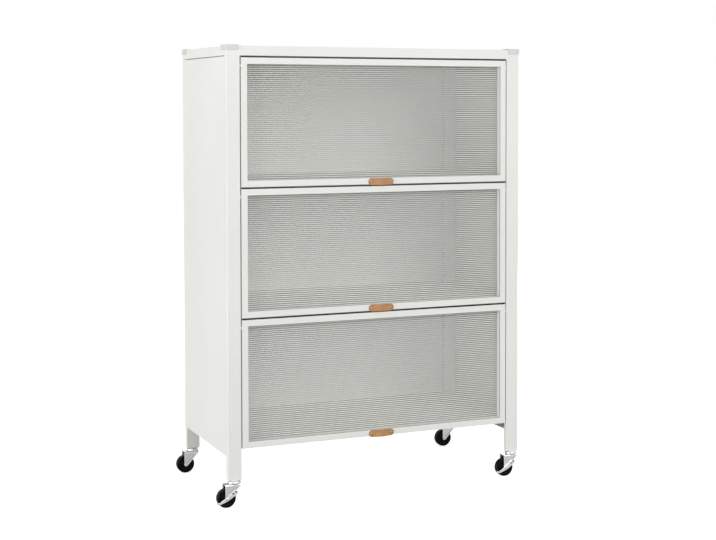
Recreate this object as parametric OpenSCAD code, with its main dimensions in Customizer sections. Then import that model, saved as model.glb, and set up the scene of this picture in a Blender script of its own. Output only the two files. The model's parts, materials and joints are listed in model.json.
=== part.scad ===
// Rolling kitchen cabinet: a folded sheet-steel frame with three lift-up doors on four swivel casters.
// Millimetres, +Z up. X runs along the width, the doors face -Y, and the floor is at z = 0.

/* [Cabinet] */
// Width across the posts
width = 800; // [640:10:1100]
// Depth from the front face to the back face
depth = 400; // [320:10:520]
// Length of the legs below the lowest door
leg_drop = 76; // [50:1:140]
// How far the side panels reach below the lowest door
skirt_drop = 18; // [10:1:40]

/* [Sheet metal] */
// Thickness of the folded sheet
sheet = 1; // [0.8:0.1:1.5]
// Outer radius of a fold
bend_r = 2; // [1.8:0.1:3]
// Width of a post's front face
post_face = 35; // [30:1:50]
// Depth of a post's outer flange
post_depth = 15; // [14.5:0.5:18.5]
// Depth of the lip that a post turns in beside the doors
post_lip = 12; // [11.5:0.5:14]
// Height of the top rails
rail_h = 24; // [18:1:40]
// Width of the lip under a top rail
rail_lip = 12; // [8:1:20]
// Open seam between a top rail and the side panel under it
seam = 2; // [0.6:0.1:3]
// Depth of the return flanges on the back panel
panel_flange = 12; // [8:1:20]
// Height of the folded hems on a side panel's top and bottom edges
panel_hem = 12; // [5:1:16]
// Number of screws in each bay, down each side of the back panel
screw_count = 2; // [1:1:4]

/* [Corner caps] */
// Reach of a cap along the front
cap_arm_x = 31; // [24:1:50]
// Reach of a cap along the side
cap_arm_y = 36; // [24:1:60]
// How far a cap comes down over the frame
cap_drop = 11; // [8:1:20]
// Wall of a cap
cap_wall = 2.5; // [1.5:0.1:4]

/* [Shelves] */
// Height of a shelf's folded edge
shelf_edge = 16; // [14.5:0.5:24]
// Distance from the front face to a shelf's front edge
shelf_set = 24; // [23:0.5:40]
// Height of a shelf's underside over the door below it
shelf_lift = 3.5; // [1.5:0.1:4.4]
// Turned-in lip under a shelf's edge
shelf_lip = 8; // [4:1:14]

/* [Doors] */
// Height of a door
door_h = 317.5; // [240:0.5:420]
// Gap above a door
door_gap = 4.5; // [3.6:0.1:6]
// Gap beside a door
side_gap = 2.5; // [2:0.1:4]
// Width of the door frame's face
member_face = 16; // [15:0.5:24]
// Depth of the door frame
member_depth = 22; // [18:0.5:23]
// Wall of the door frame's hollow section
member_wall = 1.2; // [0.8:0.1:1.6]
// Rounding of the door frame's outer corners
member_r = 0.8; // [0.4:0.1:1.2]
// Depth of the slot that holds the pane, from the frame's inner edge
slot_depth = 7; // [4:0.5:7]
// Thickness of the pane without its ribs
pane_t = 2; // [1.6:0.1:4]
// Spacing of the ribs on the pane
rib_pitch = 5; // [4:0.5:12]
// Height of a rib
rib_h = 0.8; // [0.4:0.1:1.5]

/* [Door pivots] */
// Distance from a door's top edge down to its pivot
pivot_drop = 20; // [14:0.5:30]
// Distance from the front face back to the pivot
pivot_set = 6; // [5.6:0.1:6.4]
// Diameter of a pivot pin
pin_d = 6; // [4:0.5:7]
// Reach of a pivot pin past the door's edge
pin_reach = 10; // [8:0.5:14]
// Diameter of a bush's flange
bush_flange_d = 11; // [9:0.5:11]
// Thickness of a bush's flange
bush_flange_t = 1.2; // [0.8:0.1:1.5]
// Wall of a bush round its pin
bush_wall = 1; // [0.8:0.1:1.4]
// Length of a bush behind the post's lip
bush_l = 4; // [2:0.5:5]

/* [Pull] */
// Width of a leather pull
pull_w = 68; // [50:1:120]
// Height of a leather pull
pull_h = 18; // [14:0.5:22]
// Thickness of the leather
pull_t = 2.5; // [1.5:0.1:4]
// How far the middle of the leather stands off the door
pull_bow = 3.5; // [0:0.1:6]
// How far the leather hangs below the door's edge
pull_drop = 2.4; // [0:0.1:2.8]
// Offset of a pull to the right of the door's middle
pull_shift = 6; // [-20:1:20]
// Diameter of a stud's head
stud_d = 7; // [5:0.5:9]
// Distance from the leather's end to its stud
stud_inset = 7; // [5:0.5:10]

/* [Catches] */
// Diameter of a catch magnet
magnet_d = 10; // [6:0.5:12]
// Length of a catch magnet
magnet_l = 8; // [4:0.5:12]
// Diameter of a rubber bumper
bumper_d = 10; // [6:0.5:12]
// Distance from a bumper to the door's end
bumper_inset = 60; // [30:5:150]

/* [Casters] */
// Height of a caster from the floor to the leg
caster_h = 66; // [62:1:90]
// Diameter of a wheel
wheel_d = 47; // [40:1:50]
// Width of a wheel's tread
wheel_w = 20; // [16:1:24]
// Distance from the swivel axis back to the axle
trail = 21; // [12:1:24]
// Diameter of the swivel race
race_d = 33; // [31:1:40]
// Diameter of the stem and the king pin
stem_d = 8; // [6:0.5:8]
// Length of the stem above the leg's foot
stem_l = 22; // [16:1:40]
// Diameter of an axle
axle_d = 5; // [4:0.5:6]
// Thickness of the fork's cheeks and of the brake pedal
fork_sheet = 2; // [1.5:0.1:2.5]
// Diameter of a bearing ball
ball_d = 4; // [3:0.5:5]
// Number of balls in a race
ball_count = 8; // [6:1:12]

/* [Brake pedals] */
// Width of a pedal's release end
pedal_w = 11; // [8:0.5:12]
// Reach of the release end from the axle
pedal_release = 31; // [20:1:32]
// Slope of the release arm at rest
pedal_slope = 34; // [20:1:40]
// Reach of the foot from the axle
pedal_foot = 27; // [22:1:30]
// Drop from the axle to the foot's upper edge
pedal_foot_drop = 6; // [4:0.5:10]
// Depth of the foot's turned-out tread
pedal_tread = 6; // [4:0.5:10]

/* [Hidden] */
$fn = 48;

// Clearances
seat_clear = 0.3;
pane_clear = 0.2;
run_fit = 0.05;
flush_seam = 0.4;
cut = 1;

// Levels above the floor
door_pitch = door_h + door_gap;
door_bottom_z = caster_h + leg_drop;
door_middle_z = door_bottom_z + door_pitch;
door_top_z = door_middle_z + door_pitch;
rail_z = door_top_z + door_pitch;
frame_top = rail_z + rail_h;
skirt_z = door_bottom_z - skirt_drop;
panel_top_z = rail_z - seam;
weld_fill = 0.6 * bend_r;
hem_h = min(panel_hem, skirt_drop + shelf_lift - door_gap - seat_clear);

// Places across and along the cabinet
opening_w = width - 2 * post_face;
door_w = opening_w - 2 * side_gap;
front_y = -depth / 2;
back_bay_w = width - 2 * (sheet + post_face);
front_leg_x = width / 2 - post_face / 2;
back_leg_x = front_leg_x - sheet;
leg_y = (depth - post_depth) / 2;
left_reach = front_leg_x + trail + max(wheel_d / 2, pedal_foot);
right_reach = max(width / 2 + cap_wall, front_leg_x + race_d / 2);
footprint_shift = (left_reach - right_reach) / 2;

// Door section
slot_u = member_face - slot_depth;
slot_v = pane_t + 2 * pane_clear;
pane_recess = member_depth - member_wall - slot_v;
pane_inset = slot_u + seat_clear;
rib_margin = 0.2;
rib_count = floor((door_h - 2 * (member_face + rib_margin)) / rib_pitch);
rib_steps = 4;
rib_root = 0.3;
pane_y = pane_recess + pane_clear;
pivot_z = door_h - pivot_drop;
block_h = 20;
pin_collar_d = pin_d + 3;
pull_z = pull_h / 2 - pull_drop;
pull_flat = 2 * stud_inset;
pull_steps = 24;
stud_hole_d = 3.2;
stud_shank_d = 3;
stud_head_t = 1.6;
stud_grip = 3;

// Shelf fittings
catch_z = shelf_edge / 2;
catch_y = front_y + member_depth + seat_clear;

// Back panel screws
screw_d = 4;
screw_head_d = 8;
screw_head_t = 2.2;
screw_grip = 5;
screw_first = 0.6;
screw_pitch = door_h / (screw_count - 1 + 2 * screw_first);

// Caster section
foot_plate_t = 2.5;
nut_across = 12;
nut_h = 6.5;
cup_t = 3.4;
cup_wall = 1.4;
cup_flat_r = race_d / 2 - 5;
cup_edge = 3.4;
stem_chamfer = 1;
skirt_gap = 1;
crown_t = 2.5;
crown_top = caster_h - cup_t - ball_d - 2 * seat_clear;
crown_r = race_d / 2 - 2;
king_head_r = stem_d / 2 + 2.5;
king_head_t = 2;
race_r = race_d / 2 - 6;
wheel_r = wheel_d / 2;
hub_r = axle_d / 2 + 4;
hub_half = wheel_w / 2 + 0.7;
dish_d = 1.6;
rim_w = 7;
cheek_in = hub_half + seat_clear;
cheek_out = cheek_in + fork_sheet;
boss_r = axle_d / 2 + 2.5;
cheek_edge = 2;
cheek_run = 40;
axle_head_r = axle_d / 2 + 1.5;
axle_head_t = 2.2;
axle_nut_across = 8;
foot_h = 6;
foot_w = 10;
link_waist = 0.85;
pedal_y = cheek_out + seat_clear;
pedal_out = pedal_y + fork_sheet;

// Colours
enamel = [0.91, 0.91, 0.89];
cap_grey = [0.78, 0.78, 0.77];
zinc = [0.78, 0.79, 0.81];
tyre_black = [0.06, 0.06, 0.06];
tan_leather = [0.71, 0.52, 0.34];
pane_tint = [0.84, 0.86, 0.86, 0.5];
nylon_white = [0.88, 0.88, 0.86];
rubber_black = [0.12, 0.12, 0.12];

// Moves the cabinet so that the footprint, trailing wheels included, is centred on the origin
module at_footprint() {
    translate([footprint_shift, 0, 0]) children();
}

module mirror_x() {
    mirror([1, 0, 0]) children();
}

module mirror_y() {
    mirror([0, 1, 0]) children();
}

module both_sides() {
    children();
    mirror_x() children();
}

// Box given by its low and high corners
module block(low, high) {
    translate(low) cube(high - low);
}

// Frame

// Plan of a channel section whose two outer folds are rounded
module channel_plan(face, flange, lip) {
    difference() {
        round_front(0, face, flange, bend_r);
        round_front(sheet, face, flange + cut, bend_r);
        translate([face - sheet - cut, lip]) square([sheet + 2 * cut, flange]);
    }
}

module round_front(inset, face, reach, r) {
    corner_r = r - inset;
    translate([inset, r]) square([face - 2 * inset, reach - r]);
    translate([r, inset]) square([face - 2 * r, reach - inset]);
    translate([r, r]) circle(corner_r);
    translate([face - r, r]) circle(corner_r);
}

module front_post() {
    difference() {
        translate([-width / 2, front_y, caster_h])
            linear_extrude(frame_top - caster_h) channel_plan(post_face, post_depth, post_lip);
        for (z = [door_bottom_z, door_middle_z, door_top_z])
            translate([-opening_w / 2 - sheet - cut, front_y + pivot_set, z + pivot_z])
                rotate([0, 90, 0]) cylinder(d = pin_d + 2 * bush_wall + 4 * run_fit, h = sheet + 2 * cut);
    }
}

// Back post: a closed tube, set in by the side panel's thickness
module back_post() {
    translate([-width / 2 + sheet, -front_y - post_depth, caster_h])
        linear_extrude(frame_top - caster_h) difference() {
            rounded_plate([post_face, post_depth], bend_r);
            translate([sheet, sheet])
                rounded_plate([post_face - 2 * sheet, post_depth - 2 * sheet], bend_r - sheet);
        }
}

// Rail between the front posts, or between the back posts when turned round. Its face runs on into the
// posts' rounded folds, where the joint is welded and dressed flush
module cross_rail(length) {
    half = length / 2;
    difference() {
        block([-half - weld_fill, front_y, rail_z], [half + weld_fill, front_y + sheet, frame_top]);
        both_sides() translate([half + bend_r, front_y + bend_r, rail_z - cut])
            cylinder(r = bend_r + run_fit, h = rail_h + 2 * cut);
    }
    block([-half, front_y, rail_z], [half, front_y + rail_lip, rail_z + sheet]);
}

// Rail along the side, lapped over the back post
module side_rail() {
    outer = -width / 2;
    rail_front = front_y + post_depth;
    block([outer, rail_front, rail_z], [outer + sheet, -front_y, frame_top]);
    block([outer, rail_front, rail_z], [outer + rail_lip, -front_y - post_depth, rail_z + sheet]);
}

// Lift-out tray, notched for the caps, whose flanges stand on the rails' lips
module top_tray() {
    edge_x = width / 2 - sheet - seat_clear;
    edge_y = depth / 2 - sheet - seat_clear;
    notch_x = width / 2 - max(post_face + sheet, cap_arm_x) - seat_clear;
    notch_y = depth / 2 - max(post_depth, cap_arm_y) - seat_clear;
    under = frame_top - sheet;
    block([-edge_x, -notch_y, under], [edge_x, notch_y, frame_top]);
    block([-notch_x, -edge_y, under], [notch_x, edge_y, frame_top]);
    for (turn = [0, 180]) rotate([0, 0, turn]) {
        block([-notch_x, -edge_y, rail_z + sheet], [notch_x, -edge_y + sheet, frame_top]);
        block([-edge_x, -notch_y, rail_z + sheet], [-edge_x + sheet, notch_y, frame_top]);
    }
}

// Moulded cap over one top corner, with a plug in the post
module corner_cap() {
    left = -width / 2;
    foot = frame_top - cap_drop;
    outer = [left - cap_wall, front_y - cap_wall];
    inner = [left + cap_arm_x, front_y + cap_arm_y];
    plug_low = [left + sheet + bend_r + seat_clear, front_y + sheet + seat_clear];
    plug_high = [left + post_face - bend_r - seat_clear, front_y + post_depth - sheet - seat_clear];
    difference() {
        translate([outer.x, outer.y, foot])
            linear_extrude(cap_drop + cap_wall) cap_plan(inner - outer);
        block([left, front_y, foot - cut], [inner.x + cut, inner.y + cut, frame_top]);
    }
    block([plug_low.x, plug_low.y, foot], [plug_high.x, plug_high.y, frame_top + cap_wall]);
}

// Plan of a cap, rounded at the cabinet's corner
module cap_plan(size) {
    r = bend_r + cap_wall;
    translate([r, 0]) square([size.x - r, size.y]);
    translate([0, r]) square([size.x, size.y - r]);
    translate([r, r]) circle(r);
}

// Side panel: flush skin, joggled tongue behind the front post, top and bottom edges folded double
module side_panel() {
    outer = -width / 2;
    inner = outer + sheet;
    skin_front = front_y + post_depth + flush_seam;
    tongue_front = front_y + bend_r + flush_seam;
    hem_back = -front_y - post_depth - seat_clear;
    block([outer, skin_front, skirt_z], [inner, -front_y, panel_top_z]);
    block([inner, tongue_front, skirt_z], [inner + sheet, skin_front + sheet, panel_top_z]);
    for (z = [skirt_z, panel_top_z - hem_h])
        block([inner, skin_front, z], [inner + sheet, hem_back, z + hem_h]);
}

// Back panel: a pan between the back posts' lips
module back_pan() {
    half = back_bay_w / 2;
    inner_y = -front_y - panel_flange;
    difference() {
        union() {
            block([-half, -front_y - sheet, skirt_z], [half, -front_y, panel_top_z]);
            for (z = [skirt_z, panel_top_z - sheet])
                block([-half, inner_y, z], [half, -front_y, z + sheet]);
            both_sides() block([-half, inner_y, skirt_z], [-half + sheet, -front_y, panel_top_z]);
        }
        screw_holes();
    }
}

// Back panel screws, in every bay between the shelves
module screw_places() {
    both_sides() for (z = [door_bottom_z, door_middle_z, door_top_z], i = [0:screw_count - 1])
        translate([-back_bay_w / 2, -front_y - panel_flange / 2, z + screw_pitch * (i + screw_first)])
            children();
}

module screw_holes() {
    screw_places() rotate([0, 90, 0]) cylinder(d = screw_d + 2 * run_fit, h = 2 * screw_grip, center = true);
}

module back_post_drilled() {
    difference() {
        back_post();
        screw_holes();
    }
}

module sheet_screw() {
    rotate([0, 90, 0]) {
        translate([0, 0, sheet]) cylinder(d = screw_head_d, h = screw_head_t);
        translate([0, 0, -screw_grip]) cylinder(d = screw_d, h = screw_grip + sheet + cut);
    }
}

// Shelf: an upturned tray that runs between the side panels, notched round the back posts
module shelf(z) {
    low = z - door_gap + shelf_lift;
    high = low + shelf_edge;
    side = width / 2 - sheet;
    front = front_y + shelf_set;
    notch_y = -front_y - post_depth - seat_clear;
    tail_x = back_bay_w / 2 - sheet - seat_clear;
    tail_y = -front_y - sheet - seat_clear;
    difference() {
        union() {
            block([-side, front, high - sheet], [side, notch_y, high]);
            block([-tail_x, front, high - sheet], [tail_x, tail_y, high]);
            block([-side, front, low], [side, front + sheet, high]);
            block([-side, front, low], [side, front + shelf_lip, low + sheet]);
            block([-tail_x, tail_y - sheet, low], [tail_x, tail_y, high]);
            both_sides() block([-side, front, low], [-side + sheet, notch_y, high]);
        }
        translate([0, front - cut, low + catch_z])
            rotate([-90, 0, 0]) cylinder(d = magnet_d + 2 * run_fit, h = sheet + 2 * cut);
    }
}

// Places on the front edge of the shelves
module at_shelf_edges() {
    for (z = [door_bottom_z, door_middle_z, door_top_z])
        translate([0, catch_y, z - door_gap + shelf_lift + catch_z]) children();
}

// Plate in the foot of a leg, with its corners rounded inside the folds
module foot_plate() {
    inset = sheet + seat_clear;
    size = [post_face - 2 * inset, post_depth - 2 * inset];
    difference() {
        translate(-size / 2) linear_extrude(foot_plate_t) rounded_plate(size, bend_r - sheet + seat_clear);
        translate([0, 0, -cut]) cylinder(d = stem_d + 2 * run_fit, h = foot_plate_t + 2 * cut);
    }
}

module stem_nut() {
    difference() {
        cylinder(d = nut_across / cos(30), h = nut_h, $fn = 6);
        translate([0, 0, -cut]) cylinder(d = stem_d + 2 * run_fit, h = nut_h + 2 * cut);
    }
}

// Flanged bush in the lip of the left front post
module pivot_bush() {
    rotate([0, 90, 0]) difference() {
        union() {
            cylinder(d = bush_flange_d, h = bush_flange_t);
            translate([0, 0, -sheet - bush_l])
                cylinder(d = pin_d + 2 * bush_wall + 2 * run_fit, h = sheet + bush_l + bush_flange_t / 2);
        }
        translate([0, 0, -sheet - bush_l - cut])
            cylinder(d = pin_d + 2 * run_fit, h = sheet + bush_l + bush_flange_t + 2 * cut);
    }
}

// Doors, each drawn with its front face on y = 0 and its lower edge on z = 0

// Rectangle with its four corners rounded
module rounded_plate(size, r) {
    translate([r, 0]) square([size.x - 2 * r, size.y]);
    translate([0, r]) square([size.x, size.y - 2 * r]);
    for (x = [r, size.x - r], y = [r, size.y - r]) translate([x, y]) circle(r);
}

// Hollow section, with the pane's slot at its back: u runs from the outer edge inwards, v from the face
module member_section() {
    inner_u = slot_u - 2 * member_wall;
    difference() {
        rounded_plate([member_face, member_depth], member_r);
        translate([member_wall, member_wall]) square([inner_u, member_depth - 2 * member_wall]);
        translate([slot_u, pane_recess]) square([slot_depth + cut, slot_v]);
        translate([slot_u, member_wall])
            square([slot_depth - member_wall, pane_recess - 2 * member_wall]);
    }
}

// Prism over a shape drawn in X and Z, as deep as the door
module through_door() {
    translate([0, member_depth + cut, 0])
        rotate([90, 0, 0]) linear_extrude(member_depth + 2 * cut) children();
}

module upper_rail() {
    half = door_w / 2;
    intersection() {
        translate([-half, 0, door_h]) rotate([0, 90, 0]) linear_extrude(door_w) member_section();
        through_door() polygon([
            [-half, door_h], [half, door_h],
            [half - member_face, door_h - member_face], [member_face - half, door_h - member_face]
        ]);
    }
}

module lower_rail() {
    difference() {
        translate([0, 0, door_h]) mirror([0, 0, 1]) upper_rail();
        at_studs() translate([0, stud_grip + cut, 0])
            rotate([90, 0, 0]) cylinder(d = stud_hole_d, h = stud_grip + 2 * cut);
    }
}

module left_stile() {
    edge = -door_w / 2;
    difference() {
        intersection() {
            translate([edge, 0, 0]) linear_extrude(door_h) member_section();
            through_door() polygon([
                [edge, 0], [edge, door_h],
                [edge + member_face, door_h - member_face], [edge + member_face, member_face]
            ]);
        }
        translate([edge - cut, pivot_set, pivot_z])
            rotate([0, 90, 0]) cylinder(d = pin_d + 2 * run_fit, h = member_wall + 2 * cut);
    }
}

// Ribbed pane: a plate in the frame's slots with level ribs across its face
module ribbed_pane() {
    plate_w = door_w - 2 * pane_inset;
    rib_w = door_w - 2 * (member_face + rib_margin);
    first = (door_h - rib_count * rib_pitch) / 2;
    crests = [for (i = [0:rib_count * rib_steps])
        [-rib_h * abs(sin(180 * i / rib_steps)), first + i * rib_pitch / rib_steps]];
    last = first + rib_count * rib_pitch;
    block([-plate_w / 2, pane_y, pane_inset], [plate_w / 2, pane_y + pane_t, door_h - pane_inset]);
    translate([-rib_w / 2, pane_y, 0]) rotate([90, 0, 90]) linear_extrude(rib_w)
        polygon(concat([[rib_root, first]], crests, [[rib_root, last]]));
}

// Block inside the stile that carries the pin through the stile's outer wall
module pivot_pin() {
    edge = -door_w / 2;
    chamber = edge + member_wall;
    chamber_w = slot_u - 2 * member_wall;
    deep = member_depth - member_wall - pane_clear;
    block(
        [chamber + pane_clear, member_wall + pane_clear, pivot_z - block_h / 2],
        [chamber + chamber_w - pane_clear, deep, pivot_z + block_h / 2]
    );
    translate([edge, pivot_set, pivot_z]) rotate([0, 90, 0]) {
        translate([0, 0, -pin_reach]) cylinder(d = pin_d, h = pin_reach + member_wall + 2 * pane_clear);
        translate([0, 0, bush_flange_t + seat_clear - side_gap])
            cylinder(d = pin_collar_d, h = side_gap - bush_flange_t - seat_clear);
    }
}

module at_studs() {
    for (side = [-1, 1])
        translate([pull_shift + side * (pull_w / 2 - stud_inset), 0, pull_z]) children();
}

function pull_lift(x) = abs(x) < pull_w / 2 - pull_flat
    ? pull_bow * (1 + cos(180 * x / (pull_w / 2 - pull_flat))) / 2
    : 0;

// Leather strap with round ends, flat under its studs and bowed out between them
module pull_strap() {
    xs = [for (i = [0:pull_steps]) (i / pull_steps - 0.5) * pull_w];
    near = [for (x = xs) [x, -pull_lift(x)]];
    far = [for (i = [pull_steps:-1:0]) [xs[i], -pull_lift(xs[i]) - pull_t]];
    difference() {
        translate([pull_shift, 0, pull_z]) intersection() {
            translate([0, 0, -pull_h / 2]) linear_extrude(pull_h) polygon(concat(near, far));
            rotate([90, 0, 0]) linear_extrude(pull_bow + pull_t + cut) {
                square([pull_w - pull_h, pull_h], center = true);
                for (side = [-1, 1]) translate([side * (pull_w - pull_h) / 2, 0]) circle(d = pull_h);
            }
        }
        at_studs() translate([0, cut, 0])
            rotate([90, 0, 0]) cylinder(d = stud_hole_d, h = pull_t + pull_bow + 2 * cut);
    }
}

module pull_stud() {
    rotate([90, 0, 0]) {
        translate([0, 0, -stud_grip]) cylinder(d = stud_shank_d, h = stud_grip + pull_t + stud_head_t / 2);
        translate([0, 0, pull_t]) cylinder(d1 = stud_d, d2 = stud_d - stud_head_t, h = stud_head_t);
    }
}

// Puts a door drawing at its place in the cabinet
module in_door(z) {
    at_footprint() translate([0, front_y, z]) children();
}

// Casters, each drawn with its swivel axis on X = Y = 0 and the floor at z = 0

// Stem, domed upper race and king pin, turned in one piece
module caster_stem() {
    r = race_d / 2;
    pin_r = stem_d / 2;
    skirt_low = crown_top + skirt_gap;
    ceiling = caster_h - cup_t;
    head_top = crown_top - crown_t - seat_clear;
    tip = caster_h + stem_l;
    rotate_extrude() polygon([
        [0, head_top - king_head_t], [king_head_r, head_top - king_head_t], [king_head_r, head_top],
        [pin_r, head_top], [pin_r, ceiling], [r - cup_wall, ceiling], [r - cup_wall, skirt_low],
        [r, skirt_low], [r, caster_h - cup_edge], [cup_flat_r, caster_h],
        [pin_r, caster_h], [pin_r, tip - stem_chamfer], [pin_r - stem_chamfer, tip], [0, tip]
    ]);
}

module ball_ring() {
    for (i = [0:ball_count - 1])
        rotate([0, 0, 360 * i / ball_count])
            translate([race_r, 0, crown_top + seat_clear + ball_d / 2]) sphere(d = ball_d);
}

// Crown plate with two cheeks that slope back to the axle
module fork() {
    crown_low = crown_top - crown_t;
    back_x = -trail - boss_r;
    front_x = crown_r - cheek_edge;
    difference() {
        union() {
            translate([0, 0, crown_low]) cylinder(r = crown_r, h = crown_t);
            block([back_x, -cheek_out, crown_low], [front_x, cheek_out, crown_top]);
            for (side = [0, 1]) mirror([0, side, 0])
                translate([0, cheek_out, 0]) rotate([90, 0, 0]) linear_extrude(fork_sheet) {
                    polygon([
                        [back_x, crown_top], [front_x, crown_top], [front_x, crown_low - cheek_edge],
                        [-trail + boss_r * cos(cheek_run), wheel_r - boss_r * sin(cheek_run)],
                        [-trail - boss_r, wheel_r]
                    ]);
                    translate([-trail, wheel_r]) circle(boss_r);
                }
        }
        translate([0, 0, crown_low - cut]) cylinder(d = stem_d + 2 * run_fit, h = crown_t + 2 * cut);
        translate([-trail, cheek_out + cut, wheel_r])
            rotate([90, 0, 0]) cylinder(d = axle_d + 2 * run_fit, h = 2 * (cheek_out + cut));
    }
}

// Axle bolt and nut; head_y is where the head bears
module axle_bolt(head_y) {
    translate([-trail, 0, wheel_r]) rotate([90, 0, 0]) {
        translate([0, 0, -cheek_out - axle_nut_across / 2])
            cylinder(d = axle_d, h = cheek_out + axle_nut_across / 2 + head_y + axle_head_t / 2);
        translate([0, 0, head_y]) cylinder(r = axle_head_r, h = axle_head_t);
        translate([0, 0, -cheek_out - axle_nut_across / 2 + 1])
            cylinder(d = axle_nut_across / cos(30), h = axle_nut_across / 2 - 1, $fn = 6);
    }
}

// Solid wheel with a raised hub and dished faces
module caster_wheel() {
    bore_r = axle_d / 2 + run_fit;
    half = wheel_w / 2;
    web = half - dish_d;
    side = [
        [bore_r, hub_half], [hub_r, hub_half], [hub_r + 1, web], [wheel_r - rim_w, web],
        [wheel_r - rim_w + dish_d, half], [wheel_r - 2.2, half],
        [wheel_r - 0.6, half - 1.2], [wheel_r, half - 3.4]
    ];
    other = [for (i = [len(side) - 1:-1:0]) [side[i].x, -side[i].y]];
    translate([-trail, 0, wheel_r]) rotate([90, 0, 0]) rotate_extrude() polygon(concat(side, other));
}

// Plan of a link: two round ends and a slightly narrower bar between them
module link_plate(from, from_r, to, to_r) {
    run = to - from;
    half = link_waist * min(from_r, to_r);
    translate(from) rotate(atan2(run.y, run.x)) translate([0, -half]) square([norm(run), 2 * half]);
    translate(from) circle(from_r);
    translate(to) circle(to_r);
}

// Stamped pedal that rocks on the axle, outside the near cheek
module brake_pedal() {
    release_r = pedal_w / 2;
    release = (pedal_release - release_r) * [cos(pedal_slope), sin(pedal_slope)];
    foot_end = foot_w - pedal_foot;
    knee = [foot_end, -pedal_foot_drop - foot_h / 2];
    translate([-trail, -pedal_y, wheel_r]) {
        rotate([90, 0, 0]) difference() {
            linear_extrude(fork_sheet) {
                link_plate([0, 0], boss_r, release, release_r);
                link_plate([0, 0], boss_r, knee, foot_h / 2);
                translate([-pedal_foot, -pedal_foot_drop - foot_h]) square([foot_w, foot_h]);
            }
            translate([0, 0, -cut]) cylinder(d = axle_d + 2 * run_fit, h = fork_sheet + 2 * cut);
        }
        block(
            [-pedal_foot, -fork_sheet - pedal_tread, -pedal_foot_drop - fork_sheet],
            [foot_end, 0, -pedal_foot_drop]
        );
    }
}

module at_casters() {
    for (side = [-1, 1]) {
        translate([side * front_leg_x, -leg_y, 0]) children();
        translate([side * back_leg_x, leg_y, 0]) children();
    }
}

module at_front_caster(side) {
    at_footprint() translate([side * front_leg_x, -leg_y, 0]) children();
}

module at_back_caster(side) {
    at_footprint() translate([side * back_leg_x, leg_y, 0]) children();
}

// One module for each piece

module post_front_left() color(enamel) at_footprint() front_post();
module post_front_right() color(enamel) at_footprint() mirror_x() front_post();
module post_back_left() color(enamel) at_footprint() back_post_drilled();
module post_back_right() color(enamel) at_footprint() mirror_x() back_post_drilled();
module top_rail_front() color(enamel) at_footprint() cross_rail(opening_w);
module top_rail_back() color(enamel) at_footprint() mirror_y() cross_rail(back_bay_w);
module top_rail_left() color(enamel) at_footprint() side_rail();
module top_rail_right() color(enamel) at_footprint() mirror_x() side_rail();
module top_panel() color(enamel) at_footprint() top_tray();
module side_panel_left() color(enamel) at_footprint() side_panel();
module side_panel_right() color(enamel) at_footprint() mirror_x() side_panel();
module back_panel() color(enamel) at_footprint() back_pan();
module shelf_upper() color(enamel) at_footprint() shelf(door_top_z);
module shelf_lower() color(enamel) at_footprint() shelf(door_middle_z);
module shelf_bottom() color(enamel) at_footprint() shelf(door_bottom_z);

module corner_caps() color(cap_grey) at_footprint() both_sides() {
    corner_cap();
    mirror_y() corner_cap();
}

module foot_plates() color(zinc) at_footprint() at_casters()
    translate([0, 0, caster_h]) foot_plate();

module stem_nuts() color(zinc) at_footprint() at_casters()
    translate([0, 0, caster_h + foot_plate_t]) stem_nut();

module pivot_bushes() color(nylon_white) at_footprint() both_sides()
    for (z = [door_bottom_z, door_middle_z, door_top_z])
        translate([-opening_w / 2, front_y + pivot_set, z + pivot_z]) pivot_bush();

module catch_magnets() color(zinc) at_footprint() at_shelf_edges()
    rotate([-90, 0, 0]) cylinder(d = magnet_d, h = magnet_l);

module door_bumpers() color(rubber_black) at_footprint() at_shelf_edges() both_sides()
    translate([door_w / 2 - bumper_inset, 0, 0])
        rotate([-90, 0, 0]) cylinder(d = bumper_d, h = shelf_set - member_depth - seat_clear);

module back_panel_screws() color(zinc) at_footprint() screw_places() sheet_screw();
module caster_stems() color(zinc) at_footprint() at_casters() caster_stem();
module caster_balls() color(zinc) at_footprint() at_casters() ball_ring();

module door_upper_rail(z) color(enamel) in_door(z) upper_rail();
module door_lower_rail(z) color(enamel) in_door(z) lower_rail();
module door_stiles(z) color(enamel) in_door(z) both_sides() left_stile();
module door_pane(z) color(pane_tint) in_door(z) ribbed_pane();
module door_pivot_pins(z) color(zinc) in_door(z) both_sides() pivot_pin();
module door_pull(z) color(tan_leather) in_door(z) pull_strap();
module door_pull_studs(z) color(zinc) in_door(z) at_studs() pull_stud();

module door_top_upper_rail() door_upper_rail(door_top_z);
module door_top_lower_rail() door_lower_rail(door_top_z);
module door_top_stiles() door_stiles(door_top_z);
module door_top_pane() door_pane(door_top_z);
module door_top_pivot_pins() door_pivot_pins(door_top_z);
module door_top_pull() door_pull(door_top_z);
module door_top_pull_studs() door_pull_studs(door_top_z);
module door_middle_upper_rail() door_upper_rail(door_middle_z);
module door_middle_lower_rail() door_lower_rail(door_middle_z);
module door_middle_stiles() door_stiles(door_middle_z);
module door_middle_pane() door_pane(door_middle_z);
module door_middle_pivot_pins() door_pivot_pins(door_middle_z);
module door_middle_pull() door_pull(door_middle_z);
module door_middle_pull_studs() door_pull_studs(door_middle_z);
module door_bottom_upper_rail() door_upper_rail(door_bottom_z);
module door_bottom_lower_rail() door_lower_rail(door_bottom_z);
module door_bottom_stiles() door_stiles(door_bottom_z);
module door_bottom_pane() door_pane(door_bottom_z);
module door_bottom_pivot_pins() door_pivot_pins(door_bottom_z);
module door_bottom_pull() door_pull(door_bottom_z);
module door_bottom_pull_studs() door_pull_studs(door_bottom_z);

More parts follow.
